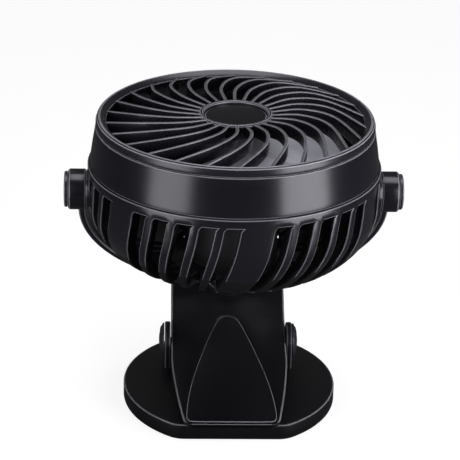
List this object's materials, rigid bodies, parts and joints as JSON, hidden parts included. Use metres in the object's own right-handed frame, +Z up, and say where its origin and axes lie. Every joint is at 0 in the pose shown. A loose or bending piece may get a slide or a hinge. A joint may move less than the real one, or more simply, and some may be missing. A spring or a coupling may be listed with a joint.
{
  "type": "clip fan",
  "caption": "Round fan with a spiral-ribbed grille in a slanted U-shaped yoke that tilts and swivels on a spring clip with a round base.",
  "frame": {"origin": "centre of the base disc's underside, on the plane that the fan stands on", "axes": "+Z up, along the fan's axis as the head faces up; +X to the right along the tilt axis; -Y towards the clip's mouth"},
  "size_m": [0.154, 0.1328, 0.1453],
  "materials": {
    "shell_plastic": "semi-gloss black moulded plastic",
    "grille_plastic": "semi-gloss black moulded plastic",
    "clip_plastic": "satin black moulded plastic",
    "impeller_plastic": "glossy dark grey plastic",
    "rubber": "matt black rubber",
    "steel": "plated steel",
    "battery_foil": "silver-grey pouch foil",
    "board_laminate": "green lacquered laminate"
  },
  "bodies": {
    "base": {"base_shell": "clip_plastic", "base_bottom": "clip_plastic", "base_screw_1": "steel", "base_screw_2": "steel", "base_screw_3": "steel", "base_screw_4": "steel", "foot_pad": "rubber", "lower_jaw_pad": "rubber", "hinge_pin": "steel", "hinge_cap_left": "clip_plastic", "hinge_cap_right": "clip_plastic", "clip_spring": "steel", "battery_pack": "battery_foil", "control_board": "board_laminate", "charging_socket": "steel"},
    "button": {"power_button": "shell_plastic"},
    "clip_lever": {"lever_shell": "clip_plastic", "lever_panel": "clip_plastic", "lever_underside": "clip_plastic", "upper_jaw_pad": "rubber"},
    "yoke": {"yoke_arm": "shell_plastic", "pivot_cap_left": "shell_plastic", "pivot_cap_right": "shell_plastic", "swivel_screw": "steel", "swivel_washer": "steel"},
    "head": {"front_grille": "grille_plastic", "grille_centre_cap": "clip_plastic", "housing_band": "shell_plastic", "rear_shell": "shell_plastic", "rear_hub_cover": "clip_plastic", "motor_can": "steel", "motor_end_cap": "clip_plastic", "motor_screw_front": "steel", "motor_screw_rear": "steel", "pivot_screw_left": "steel", "pivot_screw_right": "steel"},
    "rotor": {"impeller": "impeller_plastic", "motor_shaft": "steel"}
  },
  "joints": [
    {"name": "clip_hinge", "type": "hinge", "parent": "base", "child": "clip_lever", "pos_m": [0, 0.02, 0.0185], "axis": [-1, 0, 0], "range_deg": [0, 25], "stiffness_Nm_per_rad": 0.9, "springref_deg": -34.38, "deforming": ["clip_spring"]},
    {"name": "yoke_swivel", "type": "hinge", "parent": "clip_lever", "child": "yoke", "pos_m": [0, 0, 0.106], "axis": [0, -0.5878, 0.809], "range_deg": [-180, 180]},
    {"name": "head_tilt", "type": "hinge", "parent": "yoke", "child": "head", "pos_m": [0, 0, 0.106], "axis": [1, 0, 0], "range_deg": [-90, 165]},
    {"name": "rotor_spin", "type": "hinge", "parent": "head", "child": "rotor", "pos_m": [0, 0, 0.106], "axis": [0, 0, 1], "continuous": true},
    {"name": "button_press", "type": "slide", "parent": "base", "child": "button", "axis": [0, -1, 0], "range_m": [0, 0.0006], "stiffness_N_per_m": 400, "springref_m": -0.001}
  ]
}
